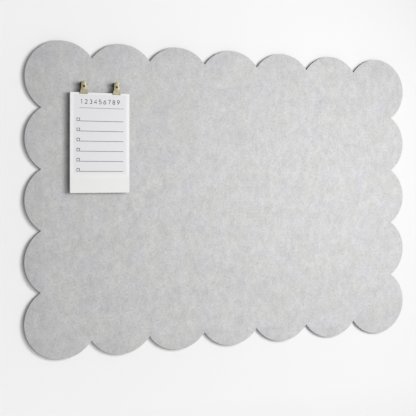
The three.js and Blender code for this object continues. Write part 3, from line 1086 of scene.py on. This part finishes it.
def spring_path():
    """The spring's wire: a leg against the back handle, the turns, and a leg against the front handle."""
    face = jaw_offset() - SHEET_METAL / 2 - WIRE_RADIUS - SEAT_GAP
    slope = math.tan(HANDLE_LEAN)
    start = COIL_RADIUS * math.cos(SPRING_LEAN)
    start_height = HINGE_HEIGHT - COIL_RADIUS * math.sin(SPRING_LEAN)
    at_start = face + (start_height - BEND_HEIGHT) * slope
    leg = (at_start - start) / (math.sin(SPRING_LEAN) - math.cos(SPRING_LEAN) * slope)
    turn = COIL_TURNS * 2 * math.pi - 2 * SPRING_LEAN
    half_width = COIL_PITCH * turn / (4 * math.pi)

    def point(wound, rise, sign):
        """A point at a share of the turns, or that far up the leg on one side."""
        angle = -SPRING_LEAN - wound * turn
        y = COIL_RADIUS * math.cos(angle) + sign * rise * math.sin(SPRING_LEAN)
        z = COIL_RADIUS * math.sin(angle) + rise * math.cos(SPRING_LEAN)
        return Vector(((2 * wound - 1) * half_width, y, HINGE_HEIGHT + z))

    coil_steps, leg_steps = 96, 6
    rises = [leg * k / leg_steps for k in range(1, leg_steps + 1)]
    points = [point(0, rise, 1) for rise in reversed(rises)]
    points += [point(k / coil_steps, 0, 1) for k in range(coil_steps + 1)]
    points += [point(1, rise, -1) for rise in rises]
    return points, half_width


def torsion_spring(finish, side):
    """The spring, wound round the hinge pin with a leg against each handle; it keeps its rest shape."""
    points, half_width = spring_path()
    middle = clip_middle(side)
    bm = bmesh.new()
    tube(bm, points, WIRE_RADIUS, sides=12)
    move(bm, middle)
    spring = piece_from_bmesh("wound_spring_" + side, bm, finish, smooth=50)
    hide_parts("torsion_spring_" + side)
    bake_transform(spring)


def clip(side, brass, steel):
    """A clip: the front jaw turns on the pin, outside the ears of the back jaw, which stays."""
    outer = WAIST_WIDTH / 2
    inner = outer - SHEET_METAL - EAR_CLEARANCE
    jaws = (("front", -1, outer, side + "_jaw"), ("back", 1, inner, "hung_list"))
    for name, out, ear_x, body in jaws:
        mesh = jaw_mesh(out, ear_x)
        mesh.transform(Matrix.Translation(clip_middle(side)))
        jaw = piece_from_mesh(f"pressed_jaw_{name}_{side}", mesh, brass, smooth=25, ease=SHEET_EASE)
        settle(jaw, body, "brass", f"{name}_jaw_{side}")
    hinge_pin(brass, side)
    push_pin(steel, side)
    torsion_spring(steel, side)


# The camera, the lights and the stage

def make_camera():
    """The photograph's camera; its focal length and shift are given in pixels of the photograph."""
    data = bpy.data.cameras.new("camera")
    data.sensor_width = 36.0
    data.lens = FOCAL_PIXELS / FRAME_PIXELS * data.sensor_width
    data.shift_y = SHIFT_PIXELS / FRAME_PIXELS
    data.clip_start = 0.05
    camera = place_object("camera", data)
    azimuth, elevation = CAMERA_AZIMUTH, CAMERA_ELEVATION
    level = math.cos(elevation)
    back = Vector((math.sin(azimuth) * level, -math.cos(azimuth) * level, math.sin(elevation)))
    camera.location = CAMERA_TARGET + back * CAMERA_DISTANCE
    look = (-back).to_track_quat("-Z", "Y").to_matrix()
    camera.rotation_euler = (look @ Matrix.Rotation(CAMERA_ROLL, 3, "Z")).to_euler()
    bpy.context.scene.camera = camera


def stage_sheet(name, low, high, depth, place, finish):
    """A flat sheet of the stage, as wide as the stage; it takes light but casts no shadow."""
    half = STAGE_HALF_WIDTH
    corners = ((-half, low), (half, low), (half, high), (-half, high))
    bm = bmesh.new()
    bm.faces.new([bm.verts.new(place(u, v, depth)) for u, v in corners])
    mesh = mesh_from(bm, name)
    mesh.materials.append(finish)
    sheet = place_object(name, mesh)
    sheet.visible_shadow = False
    return sheet


def wall_paint():
    """Pale matt paint on the wall's room side, with painted shade over it; from behind, the wall is clear.
    """
    paint = Finish("wall_paint", roughness=1.0)
    paint.set("Specular IOR Level", 0.0)
    right = paint.axis("X").above(0.0, 1.2)
    high = paint.axis("Z").above(0.05, 1.0)
    # Palest at the lower left and greyer to the right and higher up: painted shade that evens out how the
    # lamps light the wall. The squares keep the far corner from darkening further
    level = 1 - right * 0.60 - high * 0.38
    level = level + right * right * 0.37 + high * high * 0.42 + right * high * 0.03
    paint.set("Base Color", level.at_most(0.95))
    behind = paint.node("NewGeometry", {}, output="Backfacing")
    clear = paint.node("BsdfTransparent", {})
    both = paint.node("MixShader", {}, behind, Value(paint, paint.shader.outputs[0]), clear)
    paint.feed(paint.tree.nodes["Material Output"].inputs["Surface"], both)
    return paint.material


def floor_paint():
    floor = Finish("pale_floor", roughness=0.9)
    floor.set("Base Color", grey(0.8))
    return floor.material


def area_light(name, place, aim, size, power):
    """A round soft light at a place, turned towards its aim; polished metal doesn't show it."""
    data = bpy.data.lights.new(name, "AREA")
    data.shape = "DISK"
    data.size = size
    data.energy = power
    light = place_object(name, data)
    light.location = place
    light.rotation_euler = (Vector(place) - Vector(aim)).to_track_quat("Z", "Y").to_euler()
    light.visible_glossy = False


def soft_sky():
    """A soft sky that is brighter to the right, with one bright patch at the front right."""
    world = bpy.data.worlds.new("soft_sky")
    sky = Recipe(world)
    background = sky.tree.nodes["Background"]
    towards = sky.node("TexCoord", {}, output="Generated")
    rightward = sky.node("SeparateXYZ", {}, towards, output="X")
    settings = {"operation": "DOT_PRODUCT"}
    nearness = sky.node("VectorMath", settings, towards, SKY_GLOW_TOWARDS, output="Value")
    glow = nearness.above(SKY_GLOW_EDGE, SKY_GLOW_SOFTNESS) * SKY_GLOW
    sky.feed(background.inputs["Color"], grey(1.0))
    sky.feed(background.inputs["Strength"], (rightward * SKY_LEAN + glow + 1) * SKY_STRENGTH)
    return world


def make_stage():
    """A pale wall just behind the board, a pale floor, two soft lights and a soft sky."""
    wall_y = cad_box[1][1] + WALL_GAP
    wall = stage_sheet("wall", FLOOR_Z, WALL_TOP, wall_y, facing, wall_paint())
    wall.visible_diffuse = False
    wall.visible_glossy = False
    stage_sheet("floor", -FLOOR_REACH, FLOOR_REACH, FLOOR_Z, lying, floor_paint())
    area_light("key_light", KEY_PLACE, KEY_AIM, KEY_SIZE, KEY_POWER)
    area_light("window_light", WINDOW_PLACE, WINDOW_AIM, WINDOW_SIZE, WINDOW_POWER)
    bpy.context.scene.world = soft_sky()
    bpy.context.scene.view_settings.view_transform = "Standard"


def dress(node, finish):
    """A CAD node whose shape is right keeps it and gets a finish."""
    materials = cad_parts[node].data.materials
    materials.clear()
    materials.append(finish)


make_camera()
make_stage()

felt = heathered_felt()
felt_board(felt)
rim_fibres(felt)
hook_tape = woven_tape("hook_tape", tooth=1.2 * MM, depth=0.3 * MM)
loop_tape = woven_tape("loop_tape", tooth=0.5 * MM, depth=0.2 * MM)
for place in STRIP_PLACES:
    dress("hook_strip_" + place, hook_tape)
    dress("loop_strip_" + place, loop_tape)

loose_sheets(sheet_paper())
writing_sheet(tinted_paper())
printed_form(printing_ink())
glue_bead(dried_glue())
dress("backing_card", grey_card())

brass = pale_brass()
steel = bright_steel()
for side in SIDES:
    clip(side, brass, steel)
